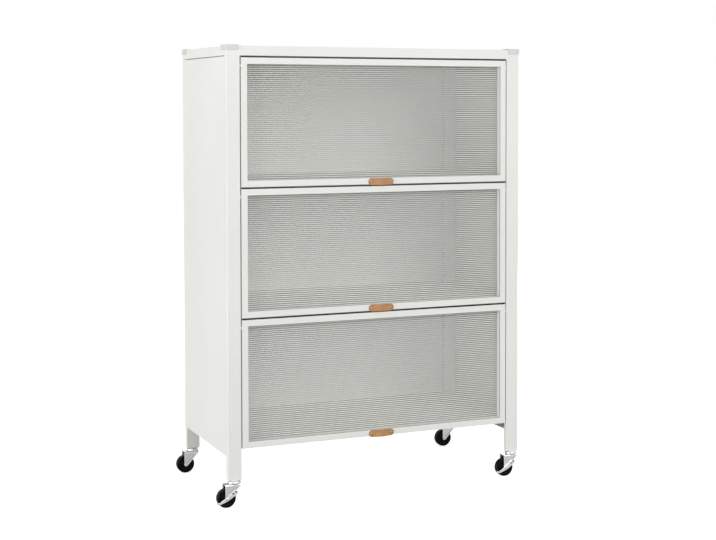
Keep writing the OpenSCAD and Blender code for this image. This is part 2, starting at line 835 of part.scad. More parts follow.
module fork_front_left() color(zinc) at_front_caster(-1) fork();
module fork_front_right() color(zinc) at_front_caster(1) fork();
module fork_back_left() color(zinc) at_back_caster(-1) fork();
module fork_back_right() color(zinc) at_back_caster(1) fork();
module axle_front_left() color(zinc) at_front_caster(-1) axle_bolt(pedal_out + seat_clear);
module axle_front_right() color(zinc) at_front_caster(1) axle_bolt(pedal_out + seat_clear);
module axle_back_left() color(zinc) at_back_caster(-1) axle_bolt(cheek_out);
module axle_back_right() color(zinc) at_back_caster(1) axle_bolt(cheek_out);
module wheel_front_left() color(tyre_black) at_front_caster(-1) caster_wheel();
module wheel_front_right() color(tyre_black) at_front_caster(1) caster_wheel();
module wheel_back_left() color(tyre_black) at_back_caster(-1) caster_wheel();
module wheel_back_right() color(tyre_black) at_back_caster(1) caster_wheel();
module brake_pedal_left() color(zinc) at_front_caster(-1) brake_pedal();
module brake_pedal_right() color(zinc) at_front_caster(1) brake_pedal();

post_front_left();
post_front_right();
post_back_left();
post_back_right();
top_rail_front();
top_rail_back();
top_rail_left();
top_rail_right();
top_panel();
corner_caps();
side_panel_left();
side_panel_right();
back_panel();
shelf_upper();
shelf_lower();
shelf_bottom();
foot_plates();
stem_nuts();
pivot_bushes();
catch_magnets();
door_bumpers();
back_panel_screws();
caster_stems();
caster_balls();
door_top_upper_rail();
door_top_lower_rail();
door_top_stiles();
door_top_pane();
door_top_pivot_pins();
door_top_pull();
door_top_pull_studs();
door_middle_upper_rail();
door_middle_lower_rail();
door_middle_stiles();
door_middle_pane();
door_middle_pivot_pins();
door_middle_pull();
door_middle_pull_studs();
door_bottom_upper_rail();
door_bottom_lower_rail();
door_bottom_stiles();
door_bottom_pane();
door_bottom_pivot_pins();
door_bottom_pull();
door_bottom_pull_studs();
fork_front_left();
fork_front_right();
fork_back_left();
fork_back_right();
axle_front_left();
axle_front_right();
axle_back_left();
axle_back_right();
wheel_front_left();
wheel_front_right();
wheel_back_left();
wheel_back_right();
brake_pedal_left();
brake_pedal_right();
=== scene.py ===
# %% [markdown]
# # A rolling kitchen cabinet
# The cabinet is a folded sheet-steel frame on four swivel casters. Three lift-up doors close it, each
# with a ribbed translucent pane and a leather pull. The exact solids come from the frame that is loaded
# here. This lesson gives them their finishes, and models again the pieces whose real ones are softer,
# rounder or finer than a plain solid: the corner caps, panes, pulls, studs and casters. It also adds the
# thin pieces that the solids leave out: flanges, the pedals' small black domes, and black strips and
# beads that paint the shade in the door gaps and round the openings.

# %% Load the frame
import json
import math

import bmesh
import bpy
from mathutils import Matrix, Vector


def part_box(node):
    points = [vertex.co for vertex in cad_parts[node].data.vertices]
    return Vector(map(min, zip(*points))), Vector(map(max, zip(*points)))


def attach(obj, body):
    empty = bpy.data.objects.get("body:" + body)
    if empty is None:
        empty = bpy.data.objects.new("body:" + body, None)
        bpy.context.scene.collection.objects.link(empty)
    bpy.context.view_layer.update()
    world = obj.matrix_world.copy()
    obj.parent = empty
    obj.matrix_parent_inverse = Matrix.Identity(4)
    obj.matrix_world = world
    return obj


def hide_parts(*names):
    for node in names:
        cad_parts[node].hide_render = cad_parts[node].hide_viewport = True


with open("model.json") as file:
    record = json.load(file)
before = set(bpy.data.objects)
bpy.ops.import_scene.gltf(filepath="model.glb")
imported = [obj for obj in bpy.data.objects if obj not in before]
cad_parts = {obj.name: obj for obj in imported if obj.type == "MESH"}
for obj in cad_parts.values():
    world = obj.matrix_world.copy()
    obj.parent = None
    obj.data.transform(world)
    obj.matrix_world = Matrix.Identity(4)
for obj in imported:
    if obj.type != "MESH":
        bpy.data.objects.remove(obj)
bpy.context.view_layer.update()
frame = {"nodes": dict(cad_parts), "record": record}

MM = 0.001
nodes = frame["nodes"]
print("solids in the frame:", len(nodes))

# %% [markdown]
# ## The camera
# The photograph was taken from the left, a little below the cabinet's top, with a longish lens. Its
# straight edges give the place and the angle: 24.4 degrees to the left of straight on, 2.2 degrees
# downwards. The picture is a crop, so the lens is shifted to keep the verticals where they were.

# %% Camera
CAMERA_PLACE = (-1.43, -3.7081, 0.9889)
CAMERA_YAW = 24.40
CAMERA_PITCH = 2.20
CAMERA_LENS = 75.07
SENSOR_WIDTH = 36
SHIFT_ACROSS = -0.1027
SHIFT_UP = -0.1513

camera_data = bpy.data.cameras.new("camera")
camera_data.sensor_width = SENSOR_WIDTH
camera_data.lens = CAMERA_LENS
camera_data.shift_x = SHIFT_ACROSS
camera_data.shift_y = SHIFT_UP
camera = bpy.data.objects.new("camera", camera_data)
bpy.context.scene.collection.objects.link(camera)
camera.location = CAMERA_PLACE
camera.rotation_euler = (math.radians(90 - CAMERA_PITCH), 0, math.radians(-CAMERA_YAW))
bpy.context.scene.camera = camera
print("camera at", CAMERA_PLACE, "lens", CAMERA_LENS, "mm")

# %% [markdown]
# ## The studio
# The photograph has a white room and almost no shadow, so about half of the light comes from the world,
# evenly from all sides. Large soft lamps give the rest, and let folds and edges read. The front one
# stands high and to the right, so that its light reaches the shelves behind the panes, and also the floor,
# which brightens the legs. The one on the left is low and far off, which keeps the side even from top to
# bottom. The third stands behind, for views of the back. What the camera and the shiny metal see is a
# white of strength 1, on a separate branch from what lights the object.

# %% World and lamps
WORLD_LIGHT = 0.45


def rays_that_look(tree, in_metal):
    """1 for what the camera sees, in_metal for what metal and glass show it, and 0 for plain light."""
    path = tree.nodes.new("ShaderNodeLightPath")
    looks = path.outputs["Is Camera Ray"]
    for other in ("Is Glossy Ray", "Is Transmission Ray"):
        share = tree.nodes.new("ShaderNodeMath")
        share.operation = "MULTIPLY_ADD"
        share.inputs[1].default_value = in_metal
        tree.links.new(path.outputs[other], share.inputs[0])
        tree.links.new(looks, share.inputs[2])
        looks = share.outputs[0]
    return looks


world = bpy.data.worlds.new("studio")
world.use_nodes = True
bpy.context.scene.world = world
sky = world.node_tree
sky.nodes.clear()
out = sky.nodes.new("ShaderNodeOutputWorld")
seen = sky.nodes.new("ShaderNodeBackground")
lit = sky.nodes.new("ShaderNodeBackground")
blend = sky.nodes.new("ShaderNodeMixShader")
lit.inputs["Color"].default_value = (1, 1, 1, 1)
lit.inputs["Strength"].default_value = WORLD_LIGHT
seen.inputs["Strength"].default_value = 1.0
seen.inputs["Color"].default_value = (1, 1, 1, 1)
sky.links.new(rays_that_look(sky, 1.0), blend.inputs["Fac"])
sky.links.new(lit.outputs[0], blend.inputs[1])
sky.links.new(seen.outputs[0], blend.inputs[2])
sky.links.new(blend.outputs[0], out.inputs["Surface"])


def lamp(name, place, aim, size, power):
    data = bpy.data.lights.new(name, "AREA")
    data.shape = "RECTANGLE"
    data.size, data.size_y = size
    data.energy = power
    holder = bpy.data.objects.new(name, data)
    bpy.context.scene.collection.objects.link(holder)
    holder.location = place
    holder.rotation_euler = (Vector(aim) - Vector(place)).to_track_quat("-Z", "Y").to_euler()
    holder.visible_camera = False
    print("lamp", name, power, "W")


lamp("front_softbox", (1.0, -4.3, 2.4), (0, 0, 0.5), (3.4, 2.4), 92)
lamp("side_softbox", (-4.6, -1.1, 0.85), (0, 0, 0.6), (2.8, 1.7), 110)
lamp("back_softbox", (2.9, 3.9, 1.9), (0, 0, 0.6), (3.4, 2.4), 84)

# %% [markdown]
# ## The floor
# The floor is one wide plane in a pale paint. The paint catches the cabinet's shadow and sends light back
# up to the legs. To the camera the floor also glows, which makes it white wherever no shadow falls. The
# chrome gets only a quarter of that glow, because the lit paint alone is nearly white in it.

# %% Floor
FLOOR_REACH = 30
GLOW_IN_METAL = 0.25

floor_mesh = bmesh.new()
bmesh.ops.create_grid(floor_mesh, x_segments=1, y_segments=1, size=FLOOR_REACH)
floor_data = bpy.data.meshes.new("floor")
floor_mesh.to_mesh(floor_data)
floor_mesh.free()
floor = bpy.data.objects.new("floor", floor_data)
bpy.context.scene.collection.objects.link(floor)

floor_paint = bpy.data.materials.new("pale_floor")
floor_paint.use_nodes = True
tree = floor_paint.node_tree
tree.nodes.clear()
out = tree.nodes.new("ShaderNodeOutputMaterial")
matt = tree.nodes.new("ShaderNodeBsdfDiffuse")
glow = tree.nodes.new("ShaderNodeEmission")
add = tree.nodes.new("ShaderNodeAddShader")
matt.inputs["Color"].default_value = (0.75, 0.75, 0.75, 1)
glow.inputs["Color"].default_value = (0.72, 0.72, 0.72, 1)
tree.links.new(rays_that_look(tree, GLOW_IN_METAL), glow.inputs["Strength"])
tree.links.new(matt.outputs[0], add.inputs[0])
tree.links.new(glow.outputs[0], add.inputs[1])
tree.links.new(add.outputs[0], out.inputs["Surface"])
floor_data.materials.append(floor_paint)
bpy.context.scene.view_settings.view_transform = "Standard"
print("floor reaches", FLOOR_REACH, "m")

# %% [markdown]
# ## Building a finish
# Each finish starts from one Principled shader. Three small helpers add what real surfaces have: a colour
# that wanders slightly, a gloss that isn't even, and a fine relief. They are driven by a noise in the
# object's own coordinates in metres, so a grain has its real size, and moves with the piece. A fourth
# helper reads a value that is painted on a mesh, for what changes from one part of a piece to the next.

# %% Helpers for finishes
def finish(name, color, roughness, metallic=0.0):
    mat = bpy.data.materials.new(name)
    mat.use_nodes = True
    shader = mat.node_tree.nodes["Principled BSDF"]
    shader.inputs["Base Color"].default_value = (*color, 1)
    shader.inputs["Roughness"].default_value = roughness
    shader.inputs["Metallic"].default_value = metallic
    coords = mat.node_tree.nodes.new("ShaderNodeTexCoord")
    coords.name = "coords"
    print("finish", name)
    return mat


def noise(mat, scale, detail=3.0, stretch=(1, 1, 1)):
    tree = mat.node_tree
    mapping = tree.nodes.new("ShaderNodeMapping")
    mapping.inputs["Scale"].default_value = stretch
    cloud = tree.nodes.new("ShaderNodeTexNoise")
    cloud.inputs["Scale"].default_value = scale
    cloud.inputs["Detail"].default_value = detail
    tree.links.new(tree.nodes["coords"].outputs["Object"], mapping.inputs["Vector"])
    tree.links.new(mapping.outputs[0], cloud.inputs["Vector"])
    return cloud.outputs["Fac"]


def tint(mat, factor, color_a, color_b, low=0.3, high=0.7):
    """Base colour runs from color_a to color_b as factor goes from low to high."""
    tree = mat.node_tree
    ramp = tree.nodes.new("ShaderNodeValToRGB")
    ramp.color_ramp.elements[0].position = low
    ramp.color_ramp.elements[1].position = high
    ramp.color_ramp.elements[0].color = (*color_a, 1)
    ramp.color_ramp.elements[1].color = (*color_b, 1)
    tree.links.new(factor, ramp.inputs["Fac"])
    tree.links.new(ramp.outputs["Color"], tree.nodes["Principled BSDF"].inputs["Base Color"])
    return ramp


def painted_value(mat, attribute, plain, marked):
    """Base colour runs from plain to marked with a value that is painted on the mesh."""
    tree = mat.node_tree
    value = tree.nodes.new("ShaderNodeAttribute")
    value.attribute_name = attribute
    tint(mat, value.outputs["Fac"], plain, marked, 0.0, 1.0)


def gloss(mat, factor, low, high):
    """Roughness runs from low to high with factor."""
    tree = mat.node_tree
    span = tree.nodes.new("ShaderNodeMapRange")
    span.inputs["To Min"].default_value = low
    span.inputs["To Max"].default_value = high
    tree.links.new(factor, span.inputs["Value"])
    tree.links.new(span.outputs["Result"], tree.nodes["Principled BSDF"].inputs["Roughness"])


def relief(mat, factor, depth, strength=1.0):
    """Fine relief, depth metres deep."""
    tree = mat.node_tree
    bump = tree.nodes.new("ShaderNodeBump")
    bump.inputs["Strength"].default_value = strength
    bump.inputs["Distance"].default_value = depth
    tree.links.new(factor, bump.inputs["Height"])
    tree.links.new(bump.outputs[0], tree.nodes["Principled BSDF"].inputs["Normal"])


# %% [markdown]
# ## White enamel, plastics and rubber
# The frame and the doors wear a satin white enamel. Sprayed enamel has a faint orange peel about a
# millimetre across, and its white isn't quite neutral. The moulded caps are duller, with a fine
# spark-eroded texture from their mould. The pivot bushes are white nylon and the bumpers are black
# rubber. The same black colours the strips and beads that paint shade in the door gaps and openings.

# %% Paint and plastics
enamel = finish("white_enamel", (0.79, 0.795, 0.76), 0.4)
tint(enamel, noise(enamel, 5.0), (0.775, 0.78, 0.745), (0.805, 0.81, 0.775))
gloss(enamel, noise(enamel, 40.0), 0.36, 0.46)
relief(enamel, noise(enamel, 700.0, 1.0), 0.00004)

cap_plastic = finish("grey_cap_plastic", (0.65, 0.65, 0.63), 0.5)
tint(cap_plastic, noise(cap_plastic, 30.0), (0.63, 0.63, 0.61), (0.67, 0.67, 0.65))
relief(cap_plastic, noise(cap_plastic, 2500.0, 1.0), 0.00003)

nylon = finish("natural_nylon", (0.72, 0.72, 0.69), 0.5)
tint(nylon, noise(nylon, 200.0), (0.70, 0.70, 0.67), (0.74, 0.74, 0.71))

# Black rubber for the bumpers; the same black paints shade in the gap strips and opening beads.
black_rubber_and_shade = finish("black_rubber_and_painted_shade", (0.03, 0.03, 0.03), 0.85)
black_rubber_and_shade.node_tree.nodes["Principled BSDF"].inputs["Specular IOR Level"].default_value = 0.2
tint(black_rubber_and_shade, noise(black_rubber_and_shade, 300.0), (0.02, 0.02, 0.02), (0.04, 0.04, 0.038))
relief(black_rubber_and_shade, noise(black_rubber_and_shade, 3000.0), 0.00004)

wheel_plastic = finish("black_wheel_plastic", (0.003, 0.003, 0.003), 0.3)
wheel_plastic.node_tree.nodes["Principled BSDF"].inputs["Specular IOR Level"].default_value = 0.06
tint(wheel_plastic, noise(wheel_plastic, 90.0, 5.0), (0.002, 0.002, 0.002), (0.006, 0.006, 0.006))
gloss(wheel_plastic, noise(wheel_plastic, 350.0, 4.0), 0.22, 0.42)

# %% [markdown]
# ## Metals
# The caster forks and races are chromed, and small hardware is zinc-plated. Chrome is nearly a mirror,
# with a haze of fine polishing lines. Where a panel is pressed in, its colour is painted darker, a
# painted reflection for the grey that the flat panel shows; a value painted on the mesh marks it. Zinc
# is duller all over, with a faint blue and yellow cast that changes from one patch to the next.

# %% Metals
chrome = finish("bright_chrome", (0.80, 0.81, 0.82), 0.14, 1.0)
gloss(chrome, noise(chrome, 250.0, 4.0, (1, 1, 6)), 0.10, 0.24)
# Painted reflection: the chrome is darker where the mesh's value marks a pressed panel.
painted_value(chrome, "dim_reflection", (0.80, 0.81, 0.82), (0.68, 0.685, 0.69))

zinc = finish("zinc_plate", (0.62, 0.63, 0.65), 0.3, 1.0)
tint(zinc, noise(zinc, 120.0), (0.58, 0.61, 0.66), (0.67, 0.65, 0.60))
gloss(zinc, noise(zinc, 500.0, 4.0), 0.24, 0.42)

nickel = finish("pale_nickel", (0.64, 0.61, 0.56), 0.22, 1.0)
gloss(nickel, noise(nickel, 900.0, 2.0), 0.18, 0.32)

brass = finish("old_brass", (0.44, 0.25, 0.11), 0.38, 1.0)
gloss(brass, noise(brass, 900.0, 2.0), 0.32, 0.48)

# %% [markdown]
# ## The ribbed panes
# The panes are clear plastic with level ribs moulded across the face. Where a rib is thickest, the light
# goes straight through and the white inside of the cabinet shows. The ribs bend light into a bright line
# over each groove, and that line is a painted highlight here: the groove is made milky in the pane's own
# pale colour. Full refraction would be slow and noisy, so the clearness is a blend: a value called
# groove, painted on each pane's mesh, sets how milky it is. The ribs hold little light back, so the light
# that goes on to the shelves and the back panel, which is what shadow and diffuse rays gather, meets only
# a part of that painted highlight. Light that strikes the pane at a slant is mostly thrown back, as on any
# clear plastic, and Layer Weight gives that share.

# %% Pane plastic
CREST_ALPHA = 0.02
GROOVE_ALPHA = 0.98
HIGHLIGHT_FROM = 0.28
HIGHLIGHT_TO = 0.66
LIGHT_PASSED = 0.6
pane_plastic = finish("clear_ribbed_plastic", (0.785, 0.78, 0.745), 0.2)
tree = pane_plastic.node_tree
shader = tree.nodes["Principled BSDF"]
groove = tree.nodes.new("ShaderNodeAttribute")
groove.attribute_name = "groove"
# The milky groove is a painted highlight, for the bright line that the ribs bend light into.
groove_highlight = tree.nodes.new("ShaderNodeMapRange")
groove_highlight.interpolation_type = "SMOOTHSTEP"
groove_highlight.inputs["From Min"].default_value = HIGHLIGHT_FROM
groove_highlight.inputs["From Max"].default_value = HIGHLIGHT_TO
groove_highlight.inputs["To Min"].default_value = CREST_ALPHA
groove_highlight.inputs["To Max"].default_value = GROOVE_ALPHA
tree.links.new(groove.outputs["Fac"], groove_highlight.inputs["Value"])
rays = tree.nodes.new("ShaderNodeLightPath")
gathered = tree.nodes.new("ShaderNodeMath")
gathered.operation = "MAXIMUM"
tree.links.new(rays.outputs["Is Shadow Ray"], gathered.inputs[0])
tree.links.new(rays.outputs["Is Diffuse Ray"], gathered.inputs[1])
held = tree.nodes.new("ShaderNodeMapRange")
held.inputs["To Min"].default_value = 1.0
held.inputs["To Max"].default_value = 1 - LIGHT_PASSED
tree.links.new(gathered.outputs[0], held.inputs["Value"])
alpha = tree.nodes.new("ShaderNodeMath")
alpha.operation = "MULTIPLY"
tree.links.new(groove_highlight.outputs["Result"], alpha.inputs[0])
tree.links.new(held.outputs["Result"], alpha.inputs[1])
graze = tree.nodes.new("ShaderNodeLayerWeight")
mirrored = tree.nodes.new("ShaderNodeMath")
mirrored.operation = "POWER"
mirrored.inputs[1].default_value = 2.0
tree.links.new(graze.outputs["Facing"], mirrored.inputs[0])
clearness = tree.nodes.new("ShaderNodeMath")
clearness.operation = "MAXIMUM"
tree.links.new(alpha.outputs[0], clearness.inputs[0])
tree.links.new(mirrored.outputs[0], clearness.inputs[1])
tree.links.new(clearness.outputs[0], shader.inputs["Alpha"])
tint(pane_plastic, noise(pane_plastic, 25.0), (0.775, 0.77, 0.735), (0.795, 0.79, 0.755))
gloss(pane_plastic, noise(pane_plastic, 60.0), 0.16, 0.28)

# %% [markdown]
# ## Leather
# The pulls are vegetable-tanned leather: tan with broader tones, and darker at the burnished rim. A
# Voronoi pattern gives the cells of the grain, a fine noise makes the gloss uneven, and the rim is read
# from a value that is painted on the mesh when the strap is made.

# %% Leather
leather = finish("tan_leather", (0.46, 0.23, 0.09), 0.5)
hide = tint(leather, noise(leather, 70.0, 5.0), (0.42, 0.205, 0.08), (0.51, 0.26, 0.108))
tree = leather.node_tree
rim = tree.nodes.new("ShaderNodeAttribute")
rim.attribute_name = "rim"
burnish = tree.nodes.new("ShaderNodeMix")
burnish.data_type = "RGBA"
burnish.inputs["B"].default_value = (0.25, 0.115, 0.045, 1)
tree.links.new(rim.outputs["Fac"], burnish.inputs["Factor"])
tree.links.new(hide.outputs["Color"], burnish.inputs["A"])
tree.links.new(burnish.outputs["Result"], tree.nodes["Principled BSDF"].inputs["Base Color"])
cells = tree.nodes.new("ShaderNodeTexVoronoi")
cells.inputs["Scale"].default_value = 1300.0
tree.links.new(tree.nodes["coords"].outputs["Object"], cells.inputs["Vector"])
relief(leather, cells.outputs["Distance"], 0.00003)
gloss(leather, noise(leather, 400.0), 0.42, 0.62)

# %% [markdown]
# ## Dressing the exact solids
# Folded sheet, door members and small hardware already have their true shape, so they keep it. Only
# their material changes, which is one assignment for each node.

# %% Materials on the solids
SLOT_FINISH = {
    "frame_enamel": enamel, "door_enamel": enamel, "cap_plastic": cap_plastic, "zinc_steel": zinc,
    "magnet_nickel": nickel, "stud_metal": brass, "bush_nylon": nylon, "bumper_rubber": black_rubber_and_shade,
    "caster_chrome": chrome, "wheel_plastic": wheel_plastic, "pane_plastic": pane_plastic,
    "tan_leather": leather,
}
slot_of = {part["node"]: part["material_slot"] for part in frame["record"]["subparts"]}
for name, solid in nodes.items():
    solid.data.materials.clear()
    solid.data.materials.append(SLOT_FINISH[slot_of[name]])
print("dressed", len(nodes), "solids in", len(set(slot_of.values())), "finishes")


# %% [markdown]
# ## Turning a bmesh into a piece
# A new piece is shaped in a bmesh, in place, then written to a mesh whose object stays at the origin. It
# rides on a body and wears the finish of its material slot, and the solids that it replaces are hidden.
# Edges sharper than 35 degrees stay sharp, and everything else is shaded smooth. The other helpers turn
# an outline round an axis, draw an arc, ease edges with a bevel, and lay down a thin plate.

# %% Helpers for pieces
SMOOTH_ANGLE = math.radians(35)
NEARLY_SQUARE = math.radians(75)


def make_piece(name, mesh, body, slot, *stands_for):
    bmesh.ops.recalc_face_normals(mesh, faces=mesh.faces)
    data = bpy.data.meshes.new(name)
    mesh.to_mesh(data)
    mesh.free()
    data.shade_smooth()
    data.set_sharp_from_angle(angle=SMOOTH_ANGLE)
    data.materials.append(SLOT_FINISH[slot])
    piece = bpy.data.objects.new(name, data)
    bpy.context.scene.collection.objects.link(piece)
    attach(piece, body)
    if stands_for:
        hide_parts(*stands_for)
    print("made", name, "with", len(data.polygons), "faces")


def spin_profile(mesh, points, axis, centre, steps):
    """A closed turned shape from (radius, height) points along axis through centre."""
    axis = Vector(axis)
    side = axis.orthogonal().normalized()
    chain = [mesh.verts.new(Vector(centre) + side * r + axis * h) for r, h in points]
    edges = [mesh.edges.new(pair) for pair in zip(chain, chain[1:])]
    bmesh.ops.spin(
        mesh, geom=chain + edges, cent=centre, axis=axis, angle=math.tau,
        steps=steps, use_merge=True, use_duplicate=False,
    )
    bmesh.ops.remove_doubles(mesh, verts=mesh.verts, dist=1e-6)


def arc(centre, radius, start, end, steps):
    """Points on an arc, angles in degrees."""
    turns = [math.radians(start + (end - start) * i / steps) for i in range(steps + 1)]
    return [(centre[0] + radius * math.cos(t), centre[1] + radius * math.sin(t)) for t in turns]


def soften(mesh, edges, width, segments=3):
    bmesh.ops.bevel(
        mesh, geom=edges, offset=width, offset_type="OFFSET", segments=segments,
        profile=0.5, affect="EDGES", material=-1, clamp_overlap=True,
    )


def square_edges(mesh):
    """The edges where a drawn-out sheet turns from its face to its rim."""
    return [e for e in mesh.edges if len(e.link_faces) == 2 and e.calc_face_angle() > NEARLY_SQUARE]


def plate(mesh, low, high, ease):
    """A thin block between two corners in millimetres, with eased edges."""
    low, high = Vector(low) * MM, Vector(high) * MM
    cube = bmesh.ops.create_cube(mesh, size=1)["verts"]
    bmesh.ops.scale(mesh, verts=cube, vec=high - low)
    bmesh.ops.translate(mesh, verts=cube, vec=(low + high) / 2)
    soften(mesh, list({e for v in cube for e in v.link_edges}), ease * MM, 2)


# %% [markdown]
# ## Corner caps
# Each top corner wears a moulded cap. A cap could be cut from the solid, but a moulding has no sharp
# edge anywhere, so it is made from a box: the faces against the cabinet are taken off, the corner and the
# upper edges are rounded, and Solidify gives the shell its wall.

# %% Caps
CAP_WALL = 2.5 * MM
CAP_CLEARANCE = 0.05 * MM
CAP_ACROSS = 33.5 * MM
CAP_DEEP = 38.5 * MM
CAP_CORNER = 4.5 * MM
CAP_EDGE = 1.2 * MM
caps_low, caps_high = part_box("corner_caps")
cap_size = Vector((CAP_ACROSS, CAP_DEEP, caps_high.z - caps_low.z))


def cap_shell(corner_x, corner_y, side_x, side_y):
    mesh = bmesh.new()
    bmesh.ops.create_cube(mesh, size=1)
    bmesh.ops.translate(mesh, verts=mesh.verts, vec=(0.5, 0.5, -0.5))
    bmesh.ops.scale(mesh, verts=mesh.verts, vec=cap_size)
    inner = [f for f in mesh.faces if f.normal.z < -0.5 or f.normal.x > 0.5 or f.normal.y > 0.5]
    bmesh.ops.delete(mesh, geom=inner, context="FACES_ONLY")
    upright = [e for e in mesh.edges if all(v.co.x < 1e-6 and v.co.y < 1e-6 for v in e.verts)]
    soften(mesh, upright, CAP_CORNER, 6)
    top = [e for e in mesh.edges if all(v.co.z > -1e-6 for v in e.verts) and len(e.link_faces) == 2]
    soften(mesh, top, CAP_EDGE)
    bmesh.ops.recalc_face_normals(mesh, faces=mesh.faces)
    lid = max(mesh.faces, key=lambda f: f.calc_area())
    if lid.normal.z < 0:
        bmesh.ops.reverse_faces(mesh, faces=mesh.faces)
    bmesh.ops.solidify(mesh, geom=mesh.faces, thickness=CAP_WALL - CAP_CLEARANCE)
    bmesh.ops.scale(mesh, verts=mesh.verts, vec=(side_x, side_y, 1))
    bmesh.ops.translate(mesh, verts=mesh.verts, vec=(corner_x, corner_y, caps_high.z))
    return mesh


caps = bmesh.new()
for x, side_x in ((caps_low.x, 1), (caps_high.x, -1)):
    for y, side_y in ((caps_low.y, 1), (caps_high.y, -1)):
        shell = cap_shell(x, y, side_x, side_y)
        spare = bpy.data.meshes.new("spare")
        shell.to_mesh(spare)
        shell.free()
        caps.from_mesh(spare)
        bpy.data.meshes.remove(spare)
make_piece("corner_caps_moulded", caps, "frame", "cap_plastic", "corner_caps")

# %% [markdown]
# ## Flanges under the side panels
# Under the lowest door the photograph shows a dark slanted strip: it is the bottom edge of the far side
# panel, turned inwards. Each panel gets that flange as a thin plate with eased edges, behind the post.

# %% Flanges
FLANGE_WIDTH = 33
FLANGE_SHEET = 1
FLANGE_INSET = 2
FRONT_INSET = 15
BACK_INSET = 15.4

flanges = bmesh.new()
for name, side in (("side_panel_left", 1), ("side_panel_right", -1)):
    low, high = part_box(name)
    edge = (low.x if side > 0 else high.x) / MM + side * FLANGE_INSET
    x_low, x_high = sorted((edge, edge + side * FLANGE_WIDTH))
    y_low, y_high = low.y / MM + FRONT_INSET, high.y / MM - BACK_INSET
    z_low = low.z / MM
    plate(flanges, (x_low, y_low, z_low), (x_high, y_high, z_low + FLANGE_SHEET), 0.3)
make_piece("panel_flanges", flanges, "frame", "frame_enamel")

# %% [markdown]
# ## Ribbed panes
# A pane is one plate whose face is moulded in level ribs. It starts as an upright grid with a few rows of
# points for each rib. The points are pushed forward on a smooth wave, and the back is then drawn out to
# the pane's thickness, so the plate is closed all round.

# %% Panes
RIB_PITCH = 5 * MM
RIB_HEIGHT = 0.8 * MM
RIB_ROWS = 8


def ribbed_pane(door):
    low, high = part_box(f"door_{door}_pane")
    mesh = bmesh.new()
    height = high.z - low.z
    rows = int(height / RIB_PITCH * RIB_ROWS)
    bmesh.ops.create_grid(mesh, x_segments=2, y_segments=rows, size=0.5)
    bmesh.ops.rotate(mesh, verts=mesh.verts, matrix=Matrix.Rotation(math.pi / 2, 3, "X"))
    bmesh.ops.scale(mesh, verts=mesh.verts, vec=(high.x - low.x, 1, height))
    middle = (low + high) / 2
    bmesh.ops.translate(mesh, verts=mesh.verts, vec=(middle.x, low.y + RIB_HEIGHT, middle.z))
    # The groove value also places the painted highlight along each groove.
    groove = mesh.verts.layers.float.new("groove")
    for vert in mesh.verts:
        crest = abs(math.cos(math.pi * (vert.co.z - middle.z) / RIB_PITCH))
        margin = min(vert.co.z - low.z, high.z - vert.co.z)
        if margin > RIB_PITCH:
            vert.co.y -= RIB_HEIGHT * crest
        vert[groove] = 1 - crest
    front = mesh.faces[:]
    drawn = bmesh.ops.extrude_face_region(mesh, geom=front)
    back = [v for v in drawn["geom"] if isinstance(v, bmesh.types.BMVert)]
    for vert in back:
        vert.co.y = high.y
    make_piece(f"pane_{door}", mesh, f"door_{door}", "pane_plastic", f"door_{door}_pane")


for door in ("top", "middle", "bottom"):
    ribbed_pane(door)

# %% [markdown]
# ## Painted shade over the doors
# The photograph shows a nearly black line over each door, where the bright inside of the cabinet ought to
# show through the gap. That line is shade in the gap, and a black strip on the door's upper edge paints
# it. Its section is a low bead with a round top, drawn out along the door.

# %% Seals
GAP_SHADE_HEIGHT = 2.6 * MM
GAP_SHADE_DEPTH = 7 * MM
GAP_SHADE_SET = 0.5 * MM
GAP_SHADE_INSET = 3 * MM
GAP_SHADE_ROUND = 1 * MM


# A black strip that paints the shade in the gap over a door.
def shade_strip_over_door(door):
    low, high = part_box(f"door_{door}_upper_rail")
    mesh = bmesh.new()
    front = low.y + GAP_SHADE_SET
    round_z = high.z + GAP_SHADE_HEIGHT - GAP_SHADE_ROUND
    shade_bead = [(front, high.z), (front + GAP_SHADE_DEPTH, high.z)]
    shade_bead += arc((front + GAP_SHADE_DEPTH - GAP_SHADE_ROUND, round_z), GAP_SHADE_ROUND, 0, 90, 4)
    shade_bead += arc((front + GAP_SHADE_ROUND, round_z), GAP_SHADE_ROUND, 90, 180, 4)
    section = mesh.faces.new([mesh.verts.new((low.x + GAP_SHADE_INSET, y, z)) for y, z in shade_bead])
    drawn = bmesh.ops.extrude_face_region(mesh, geom=[section])
    far = [v for v in drawn["geom"] if isinstance(v, bmesh.types.BMVert)]
    bmesh.ops.translate(mesh, verts=far, vec=(high.x - low.x - 2 * GAP_SHADE_INSET, 0, 0))
    make_piece(f"gap_shade_{door}", mesh, f"door_{door}", "bumper_rubber")


for door in ("top", "middle", "bottom"):
    shade_strip_over_door(door)

# %% [markdown]
# ## Painted shade round the opening
# The pane lies deep in its frame, so the frame's inner wall shows beside it. Just behind the door's face
# the photograph has a fine dark line of shade along that wall. A black bead paints that shade: the
# outline of the opening is drawn back a little way, and Solidify gives it a wall.

# %% Beads in the openings
SHADE_BEAD_FRONT = 0.9 * MM
SHADE_BEAD_WIDTH = 2 * MM
SHADE_BEAD_PROUD = 0.2 * MM
MEMBER_FACE = 16 * MM


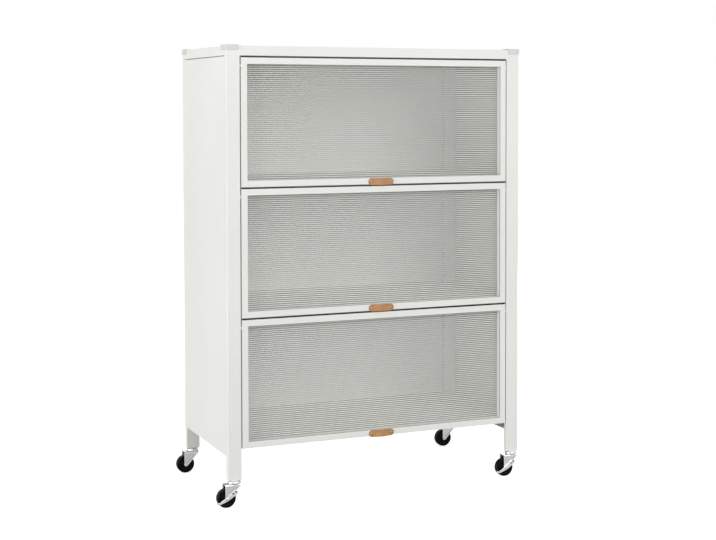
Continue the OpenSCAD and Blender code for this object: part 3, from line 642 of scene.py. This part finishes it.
# A black bead that paints the line of shade round a pane's opening.
def opening_shade_bead(door):
    low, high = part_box(f"door_{door}_stiles")
    mesh = bmesh.new()
    bmesh.ops.create_grid(mesh, x_segments=1, y_segments=1, size=0.5)
    bmesh.ops.delete(mesh, geom=mesh.faces[:], context="FACES_ONLY")
    bmesh.ops.rotate(mesh, verts=mesh.verts, matrix=Matrix.Rotation(math.pi / 2, 3, "X"))
    width = high.x - low.x - 2 * MEMBER_FACE
    height = high.z - low.z - 2 * MEMBER_FACE
    bmesh.ops.scale(mesh, verts=mesh.verts, vec=(width, 1, height))
    middle = (low + high) / 2
    bmesh.ops.translate(mesh, verts=mesh.verts, vec=(middle.x, low.y + SHADE_BEAD_FRONT, middle.z))
    drawn = bmesh.ops.extrude_edge_only(mesh, edges=mesh.edges[:])
    back = [v for v in drawn["geom"] if isinstance(v, bmesh.types.BMVert)]
    bmesh.ops.translate(mesh, verts=back, vec=(0, SHADE_BEAD_WIDTH, 0))
    bmesh.ops.recalc_face_normals(mesh, faces=mesh.faces)
    bmesh.ops.solidify(mesh, geom=mesh.faces, thickness=SHADE_BEAD_PROUD)
    make_piece(f"bead_{door}", mesh, f"door_{door}", "bumper_rubber")


for door in ("top", "middle", "bottom"):
    opening_shade_bead(door)

# %% [markdown]
# ## Leather pulls and their studs
# A pull is a strip of leather with round ends, held by a domed stud at each end and bowed out a little
# between them. A circle is parted down the middle and its halves moved out to make the outline, cuts
# across it let it bend, and it is then drawn out to its thickness. Its rim gets a rounded edge, and also
# a value called rim, which the leather finish reads to burnish it. A stud is one outline spun round.

# %% Pulls
PULL_WIDTH = 68 * MM
PULL_HEIGHT = 18 * MM
PULL_THICK = 2.5 * MM
PULL_BOW = 3.4 * MM
PULL_RINGS = (0.7, 0.5, 1.6)
PULL_CUTS = 26
CUT_SPAN = 0.94
PULL_EDGE = 0.7 * MM
RIM_WIDTH = 1.2 * MM
STUD_INSET = 7 * MM
STUD_RISE = 1.6 * MM
STUD_EDGE = 0.2 * MM
SHANK_RADIUS = 1.5 * MM


def strap_lift(x):
    reach = PULL_WIDTH / 2 - 2 * STUD_INSET
    return PULL_BOW * (1 + math.cos(math.pi * x / reach)) / 2 if abs(x) < reach else 0.0


def leather_pull(door):
    low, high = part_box(f"door_{door}_pull")
    mesh = bmesh.new()
    bmesh.ops.create_circle(mesh, cap_ends=True, segments=40, radius=PULL_HEIGHT / 2)
    half = (PULL_WIDTH - PULL_HEIGHT) / 2
    for vert in mesh.verts:
        vert.co.x += half if vert.co.x > 1e-6 else -half if vert.co.x < -1e-6 else 0
    for ring in PULL_RINGS:
        middle = max(mesh.faces, key=lambda f: f.calc_area())
        bmesh.ops.inset_region(
            mesh, faces=[middle], thickness=ring * MM, use_boundary=True, use_even_offset=True
        )
    for i in range(1, PULL_CUTS):
        x = (i / PULL_CUTS - 0.5) * PULL_WIDTH * CUT_SPAN
        geom = mesh.verts[:] + mesh.edges[:] + mesh.faces[:]
        bmesh.ops.bisect_plane(mesh, geom=geom, plane_co=(x, 0, 0), plane_no=(1, 0, 0))
    bmesh.ops.rotate(mesh, verts=mesh.verts, matrix=Matrix.Rotation(math.pi / 2, 3, "X"))
    drawn = bmesh.ops.extrude_face_region(mesh, geom=mesh.faces[:])
    front = [v for v in drawn["geom"] if isinstance(v, bmesh.types.BMVert)]
    bmesh.ops.translate(mesh, verts=front, vec=(0, -PULL_THICK, 0))
    soften(mesh, square_edges(mesh), PULL_EDGE)
    burnished = mesh.verts.layers.float.new("rim")
    middle = (low + high) / 2
    for vert in mesh.verts:
        past = max(abs(vert.co.x) - half, 0)
        edge = PULL_HEIGHT / 2 - math.hypot(past, vert.co.z)
        vert[burnished] = min(max(1 - edge / RIM_WIDTH, 0), 1)
        vert.co.y -= strap_lift(vert.co.x)
        vert.co += Vector((middle.x, high.y, middle.z))
    make_piece(f"pull_{door}", mesh, f"door_{door}", "tan_leather", f"door_{door}_pull")


def pull_studs(door):
    low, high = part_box(f"door_{door}_pull_studs")
    mesh = bmesh.new()
    radius = (high.z - low.z) / 2
    shank_end = -(high.y - low.y) + STUD_RISE
    turns = [i * math.pi / 12 for i in range(6)]
    dome = [(radius * math.cos(turn), STUD_RISE * math.sin(turn)) for turn in turns]
    outline = [(0, shank_end), (SHANK_RADIUS, shank_end), (SHANK_RADIUS, 0), (radius - STUD_EDGE, 0)]
    outline += dome + [(0, STUD_RISE)]
    for x in (low.x + radius, high.x - radius):
        spin_profile(mesh, outline, (0, -1, 0), (x, low.y + STUD_RISE, (low.z + high.z) / 2), 24)
    make_piece(f"studs_{door}", mesh, f"door_{door}", "stud_metal", f"door_{door}_pull_studs")


for door in ("top", "middle", "bottom"):
    leather_pull(door)
    pull_studs(door)

# %% [markdown]
# ## Caster wheels
# A wheel is turned, so it is one outline spun round the axle: a crowned tread with round shoulders, a
# dished web and a raised hub. The outline is written from the hub's bore outwards.

# %% Wheels
CORNERS = ("front_left", "front_right", "back_left", "back_right")
WHEEL_PROFILE = [
    (3.1, 10.4), (3.4, 10.7), (6.6, 10.7), (7.0, 10.3), (7.6, 8.6), (8.4, 8.2), (15.4, 8.2),
    (16.6, 8.7), (17.4, 9.7), (18.4, 10.0), (20.6, 10.0), (22.0, 9.5), (22.9, 8.4), (23.3, 6.8),
    (23.46, 4.0), (23.5, 0),
]


def in_metres(profile):
    return [(radius * MM, height * MM) for radius, height in profile]


def caster_wheel(corner):
    low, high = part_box(f"wheel_{corner}")
    centre = (low + high) / 2
    mesh = bmesh.new()
    right = in_metres(WHEEL_PROFILE)
    left = [(r, -h) for r, h in reversed(right[:-1])]
    outline = right + left + [right[0]]
    spin_profile(mesh, outline, (0, 1, 0), centre, 64)
    body = f"wheel_{corner}"
    make_piece(f"wheel_{corner}_turned", mesh, body, "wheel_plastic", f"wheel_{corner}")


for corner in CORNERS:
    caster_wheel(corner)

# %% [markdown]
# ## Swivel races
# The race, its stem and the king pin below it are turned parts too, so one outline makes them all. The
# cup's rim is rolled over and its dome runs up to the leg in short curves, where the solid has one cone.

# %% Races
TRAIL = 21 * MM
RACE_PROFILE = [
    (0, 53.2), (6.1, 53.2), (6.5, 53.6), (6.5, 54.8), (6.1, 55.2), (4, 55.2), (4, 62.6),
    (14.3, 62.6), (15.0, 62.0), (15.1, 61.0), (15.1, 59.4), (15.4, 59.0), (16.1, 59.0),
    (16.5, 59.5), (16.5, 61.6), (16.2, 62.8), (15.3, 64.0), (13.9, 65.0), (12.2, 65.7),
    (10.5, 66.0), (4, 66.0), (4, 86.8), (3.8, 87.4), (3.2, 88.0), (0, 88.0),
]


def swivel_axis(corner):
    low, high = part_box(f"wheel_{corner}")
    return Vector(((low.x + high.x) / 2 + TRAIL, (low.y + high.y) / 2, 0))


races = bmesh.new()
for corner in CORNERS:
    spin_profile(races, in_metres(RACE_PROFILE), (0, 0, 1), swivel_axis(corner), 48)
make_piece("swivel_races_turned", races, "frame", "caster_chrome", "caster_stems")

# %% [markdown]
# ## Forks
# A fork is one strip of steel, bent down on both sides of the wheel. The strip is drawn as a bent line
# along the wheel's width and swept along X. One plane then trims the cheeks to their slope, and a fan of
# planes rounds their end below the axle. A shallow panel is pressed into each cheek, and Solidify gives
# the sheet its thickness. The round lower race is turned, and joins the crown.

# %% Forks
CHEEK = 13 * MM
CROWN_TOP = 58 * MM
AXLE_Z = 23.5 * MM
BOSS = 5 * MM
FORK_SHEET = 2 * MM
BEND = 3 * MM
CHEEK_FRONT = 12.5 * MM
SLOPE_TURN = -41.8
SLOPE_TOP = 53.5 * MM
END_TURNS = range(-50, -180, -12)
PANEL_BORDER = 2.4 * MM
PANEL_RING = 0.7 * MM
PANEL_DEPTH = 0.6 * MM
SHEET_EDGE = 0.35 * MM
LOWER_RACE_PROFILE = [
    (4.1, 55.3), (13.9, 55.3), (14.5, 55.9), (14.5, 57.6), (13.9, 58.2), (12.9, 58.2), (12.1, 57.7),
    (9.0, 57.7), (8.2, 58.2), (4.1, 58.2), (4.1, 55.3),
]


def fork_strip():
    mesh = bmesh.new()
    path = [(CHEEK, AXLE_Z - 2 * BOSS)] + arc((CHEEK - BEND, CROWN_TOP - BEND), BEND, 0, 90, 5)
    path += arc((BEND - CHEEK, CROWN_TOP - BEND), BEND, 90, 180, 5) + [(-CHEEK, AXLE_Z - 2 * BOSS)]
    chain = [mesh.verts.new((-TRAIL - BOSS, y, z)) for y, z in path]
    edges = [mesh.edges.new(pair) for pair in zip(chain, chain[1:])]
    swept = bmesh.ops.extrude_edge_only(mesh, edges=edges)
    ends = [v for v in swept["geom"] if isinstance(v, bmesh.types.BMVert)]
    bmesh.ops.translate(mesh, verts=ends, vec=(TRAIL + BOSS + CHEEK_FRONT, 0, 0))
    bmesh.ops.recalc_face_normals(mesh, faces=mesh.faces)
    return mesh


def trim(mesh, point, turn):
    """Cuts away what lies beyond a plane through point, whose normal is turned in the XZ plane."""
    normal = (math.cos(math.radians(turn)), 0, math.sin(math.radians(turn)))
    geom = mesh.verts[:] + mesh.edges[:] + mesh.faces[:]
    bmesh.ops.bisect_plane(mesh, geom=geom, plane_co=point, plane_no=normal, clear_outer=True)


def caster_fork(corner):
    mesh = fork_strip()
    trim(mesh, (CHEEK_FRONT, 0, SLOPE_TOP), SLOPE_TURN)
    for turn in END_TURNS:
        lean = math.radians(turn)
        trim(mesh, (-TRAIL + BOSS * math.cos(lean), 0, AXLE_Z + BOSS * math.sin(lean)), turn)
    cheeks = [f for f in mesh.faces if abs(f.normal.y) > 0.99]
    bmesh.ops.inset_individual(mesh, faces=cheeks, thickness=PANEL_BORDER, use_even_offset=True)
    pressed = bmesh.ops.inset_individual(mesh, faces=cheeks, thickness=PANEL_RING, depth=-PANEL_DEPTH)
    print("rings pressed into the cheeks:", len(pressed["faces"]))
    # The pressed panels are marked for a painted reflection: the chrome is painted darker there.
    dim_reflection = mesh.verts.layers.float.new("dim_reflection")
    for vert in {v for cheek in cheeks for v in cheek.verts}:
        vert[dim_reflection] = 1.0
    bmesh.ops.solidify(mesh, geom=mesh.faces, thickness=FORK_SHEET)
    soften(mesh, square_edges(mesh), SHEET_EDGE, 2)
    spin_profile(mesh, in_metres(LOWER_RACE_PROFILE), (0, 0, 1), (0, 0, 0), 40)
    bmesh.ops.translate(mesh, verts=mesh.verts, vec=swivel_axis(corner))
    body = f"caster_{corner}"
    make_piece(f"fork_{corner}_pressed", mesh, body, "caster_chrome", f"fork_{corner}")


for corner in CORNERS:
    caster_fork(corner)

# %% [markdown]
# ## Axles
# An axle is a bolt with a domed head, turned from one outline, and a hexagon nut with its corners eased.

# %% Axles
NUT_RADIUS = 8 * MM / 2 / math.cos(math.radians(30))
NUT_HEIGHT = 3 * MM
NUT_PLACE = 14.5 * MM
NUT_EDGE = 0.3 * MM
HEAD_SEAT_ON_PEDAL = 15.6
HEAD_SEAT_ON_CHEEK = 13.0


def caster_axle(corner):
    head = HEAD_SEAT_ON_PEDAL if corner.startswith("front") else HEAD_SEAT_ON_CHEEK
    outline = [
        (0, -16.9), (2.1, -16.9), (2.5, -16.5), (2.5, head), (3.6, head), (4.0, head + 0.4),
        (3.8, head + 1.1), (3.1, head + 1.7), (2.0, head + 2.05), (0, head + 2.2),
    ]
    mesh = bmesh.new()
    nut_place = Matrix.Translation((0, NUT_PLACE, 0)) @ Matrix.Rotation(math.pi / 2, 4, "X")
    bmesh.ops.create_cone(
        mesh, cap_ends=True, segments=6, radius1=NUT_RADIUS, radius2=NUT_RADIUS, depth=NUT_HEIGHT,
        matrix=nut_place,
    )
    soften(mesh, mesh.edges[:], NUT_EDGE, 2)
    spin_profile(mesh, in_metres(outline), (0, -1, 0), (0, 0, 0), 24)
    place = swivel_axis(corner) + Vector((-TRAIL, 0, AXLE_Z))
    bmesh.ops.translate(mesh, verts=mesh.verts, vec=place)
    make_piece(f"axle_{corner}_bolt", mesh, f"caster_{corner}", "zinc_steel", f"axle_{corner}")


for corner in CORNERS:
    caster_axle(corner)

# %% [markdown]
# ## Brake pedals
# The front casters have a stamped pedal: a release arm that slopes up, and a foot that is trodden on. Its
# outline runs round the arm's end, the foot and the boss on the axle. It is filled, drawn out to the
# sheet's thickness and its edges are eased. The foot's tread is a plate with three small ribs, and the
# arm carries two small black domes, where the photograph shows two dark spots.

# %% Pedals
ARM_SLOPE = 34
ARM_REACH = 25.5
ALONG = Vector((math.cos(math.radians(ARM_SLOPE)), math.sin(math.radians(ARM_SLOPE))))
KNEE = (-17.0, -9.0)
FOOT_TOP = -6.0
FOOT_LOW = -12.0
FOOT_END = -27.0
PEDAL_FACE = -13.3
TREAD_OUT = -8
TREAD_IN = -0.5
TREAD_SHEET = 2
TREAD_RIBS = (-25, -22, -19)
DARK_SPOT_SIDE = 2.2
DARK_SPOT_SEAT = -1.8
DARK_SPOT_REACHES = (18.6, 26.6)
DARK_SPOT_PROFILE = [(0, 0), (2.2, 0), (2.3, 0.5), (2.0, 0.9), (1.2, 1.1), (0, 1.15)]


def brake_pedal(side):
    mesh = bmesh.new()
    outline = arc(ARM_REACH * ALONG, 5.5, ARM_SLOPE - 90, ARM_SLOPE + 90, 14)
    outline += [(-2.8, 4.15), (-17.9, FOOT_TOP), (FOOT_END, FOOT_TOP), (FOOT_END, FOOT_LOW)]
    outline += arc(KNEE, 3, -90, -68, 2) + arc((0, 0), 5, -68, ARM_SLOPE - 90, 1)
    rim = [mesh.verts.new((x * MM, 0, z * MM)) for x, z in outline]
    drawn = bmesh.ops.extrude_face_region(mesh, geom=[mesh.faces.new(rim)])
    outer = [v for v in drawn["geom"] if isinstance(v, bmesh.types.BMVert)]
    bmesh.ops.translate(mesh, verts=outer, vec=(0, -FORK_SHEET, 0))
    bmesh.ops.recalc_face_normals(mesh, faces=mesh.faces)
    soften(mesh, square_edges(mesh), SHEET_EDGE, 2)
    plate(mesh, (FOOT_END, TREAD_OUT, FOOT_TOP - TREAD_SHEET), (KNEE[0], TREAD_IN, FOOT_TOP), 0.4)
    for x in TREAD_RIBS:
        plate(mesh, (x - 0.5, -7.4, FOOT_TOP - 0.5), (x + 0.5, -2.6, FOOT_TOP + 0.5), 0.2)
    place = swivel_axis(f"front_{side}") + Vector((-TRAIL, PEDAL_FACE * MM, AXLE_Z))
    bmesh.ops.translate(mesh, verts=mesh.verts, vec=place)
    body = f"pedal_{side}"
    make_piece(f"pedal_{side}_stamped", mesh, body, "caster_chrome", f"brake_pedal_{side}")

    # Two small black domes on the arm, where two dark spots show.
    dark_spots = bmesh.new()
    for reach in DARK_SPOT_REACHES:
        x, z = reach * ALONG + DARK_SPOT_SIDE * ALONG.orthogonal()
        centre = place + Vector((x * MM, DARK_SPOT_SEAT * MM, z * MM))
        spin_profile(dark_spots, in_metres(DARK_SPOT_PROFILE), (0, -1, 0), centre, 20)
    make_piece(f"pedal_{side}_buttons", dark_spots, body, "wheel_plastic")


for side in ("left", "right"):
    brake_pedal(side)
